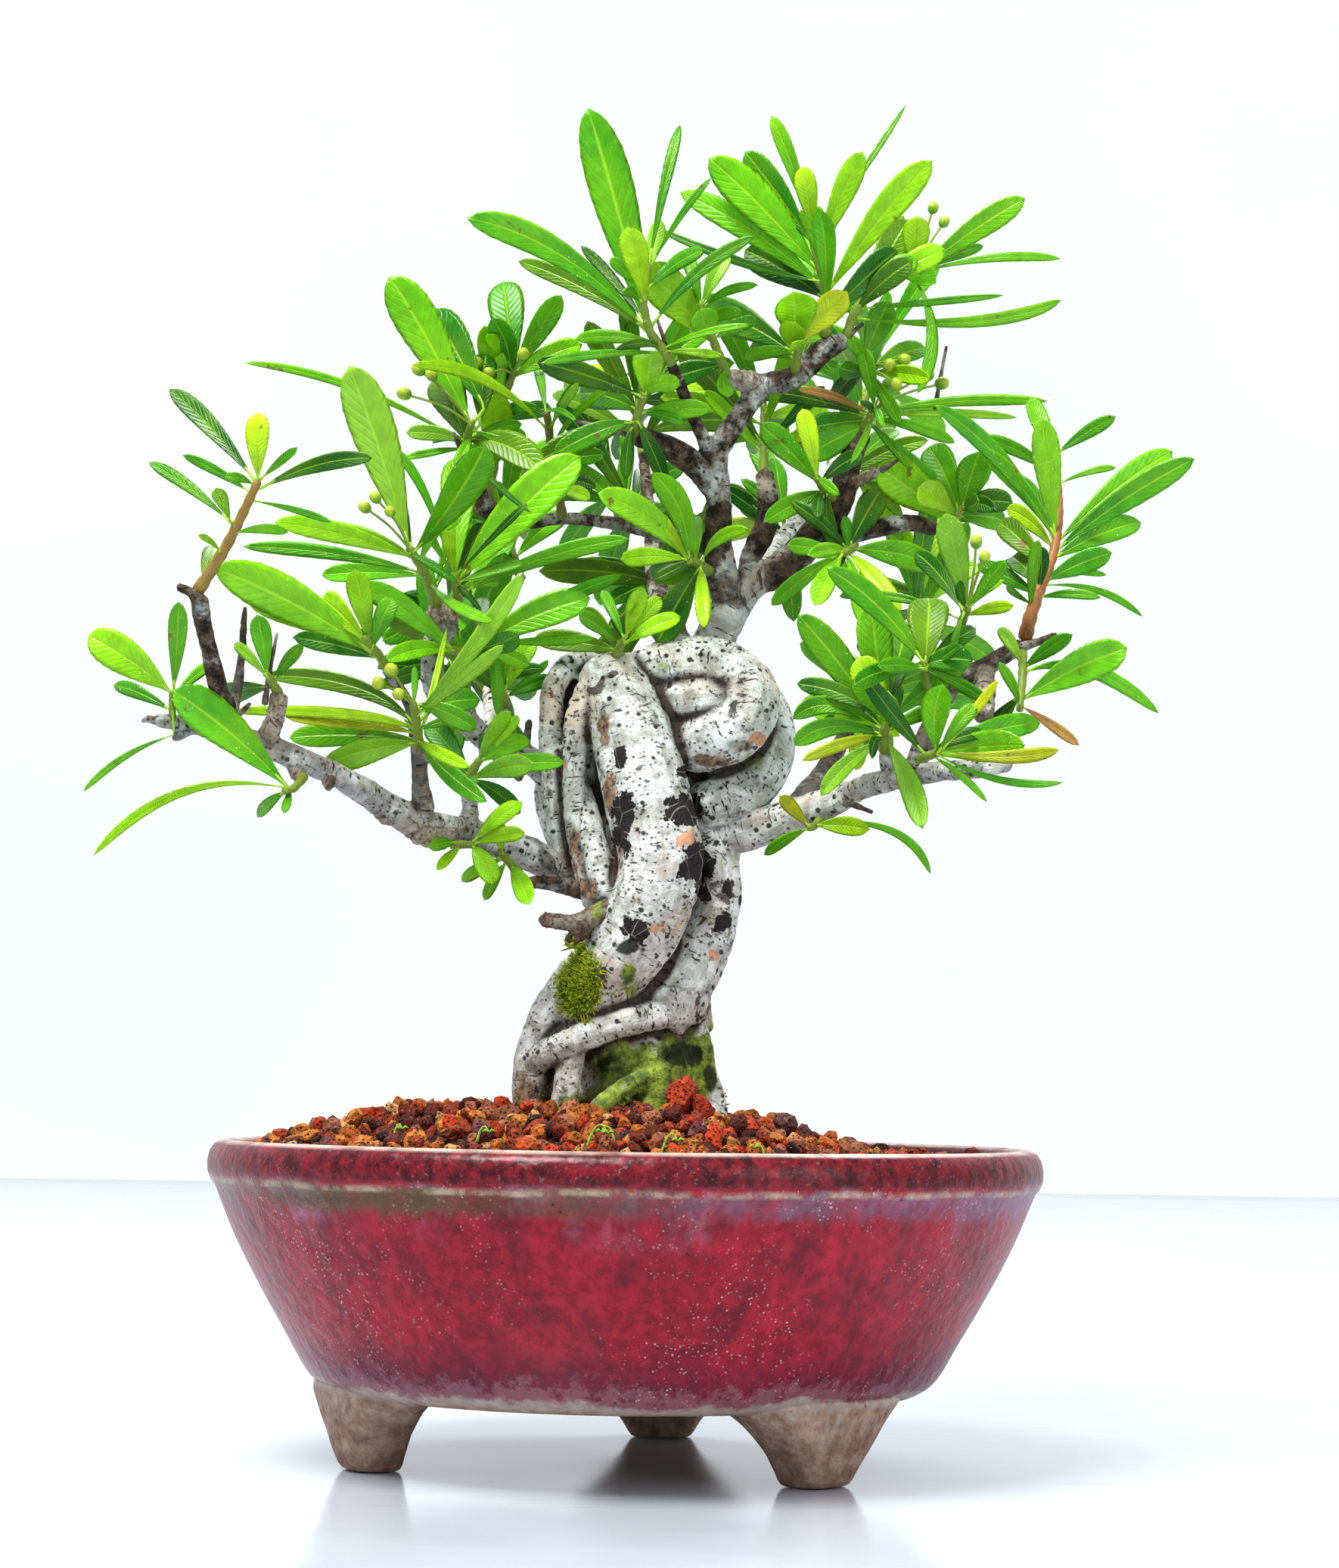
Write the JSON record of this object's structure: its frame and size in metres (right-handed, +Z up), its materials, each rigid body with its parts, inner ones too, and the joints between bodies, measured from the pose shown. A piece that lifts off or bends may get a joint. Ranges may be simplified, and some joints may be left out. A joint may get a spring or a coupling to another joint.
{
  "type": "bonsai tree in a pot",
  "caption": "Small bonsai tree with a braided, knotted trunk and narrow-leaved shoots, planted in gritty soil in a round glazed pot on three bracket feet.",
  "frame": {"origin": "centre of the whole object's box, on the plane the three feet stand on", "axes": "+Z up, +X to the viewer's right when the trunk's knot faces the viewer, +Y away from the viewer"},
  "size_m": [0.19, 0.1728, 0.2508],
  "materials": {
    "glaze": "glossy mottled crimson glaze with bare clay feet",
    "lava_grains": "rough porous grains",
    "mesh_plastic": "matte",
    "wire": "brown anodised, satin",
    "bark": "pale grey living bark, rough",
    "moss": "soft short moss",
    "foliage": "semi-gloss living leaves on green stems"
  },
  "bodies": {
    "root": {"anchor_wire": "wire", "drainage_mesh": "mesh_plastic", "mesh_clip": "wire", "moss_patch": "moss", "pot": "glaze", "shoot_back_left_a": "foliage", "shoot_back_left_b": "foliage", "shoot_back_left_c": "foliage", "shoot_back_low_a": "foliage", "shoot_back_low_b": "foliage", "shoot_back_middle_a": "foliage", "shoot_back_middle_b": "foliage", "shoot_back_middle_c": "foliage", "shoot_back_right_a": "foliage", "shoot_back_right_b": "foliage", "shoot_back_right_c": "foliage", "shoot_back_top": "foliage", "shoot_centre": "foliage", "shoot_centre_upper": "foliage", "shoot_left_fan": "foliage", "shoot_left_low_mid": "foliage", "shoot_left_low_tip": "foliage", "shoot_left_low_upper": "foliage", "shoot_left_mid_inner": "foliage", "shoot_left_spur": "foliage", "shoot_left_top": "foliage", "shoot_lower_left": "foliage", "shoot_lower_left_under": "foliage", "shoot_lower_twig": "foliage", "shoot_mid_left_inner": "foliage", "shoot_mid_left_low": "foliage", "shoot_mid_left_outer": "foliage", "shoot_right_centre": "foliage", "shoot_right_fork": "foliage", "shoot_right_fork_low": "foliage", "shoot_right_inner": "foliage", "shoot_right_low_in": "foliage", "shoot_right_low_out": "foliage", "shoot_right_low_tip": "foliage", "shoot_right_low_under": "foliage", "shoot_right_mid": "foliage", "shoot_right_outer": "foliage", "shoot_right_upper": "foliage", "shoot_top": "foliage", "shoot_top_centre": "foliage", "shoot_top_left": "foliage", "shoot_top_low": "foliage", "shoot_top_right": "foliage", "shoot_top_right_low": "foliage", "shoot_trunk_top": "foliage", "shoot_upper_left": "foliage", "shoot_upper_left_inner": "foliage", "shoot_upper_left_olive": "foliage", "soil": "lava_grains", "trunk_and_branches": "bark"}
  },
  "joints": []
}
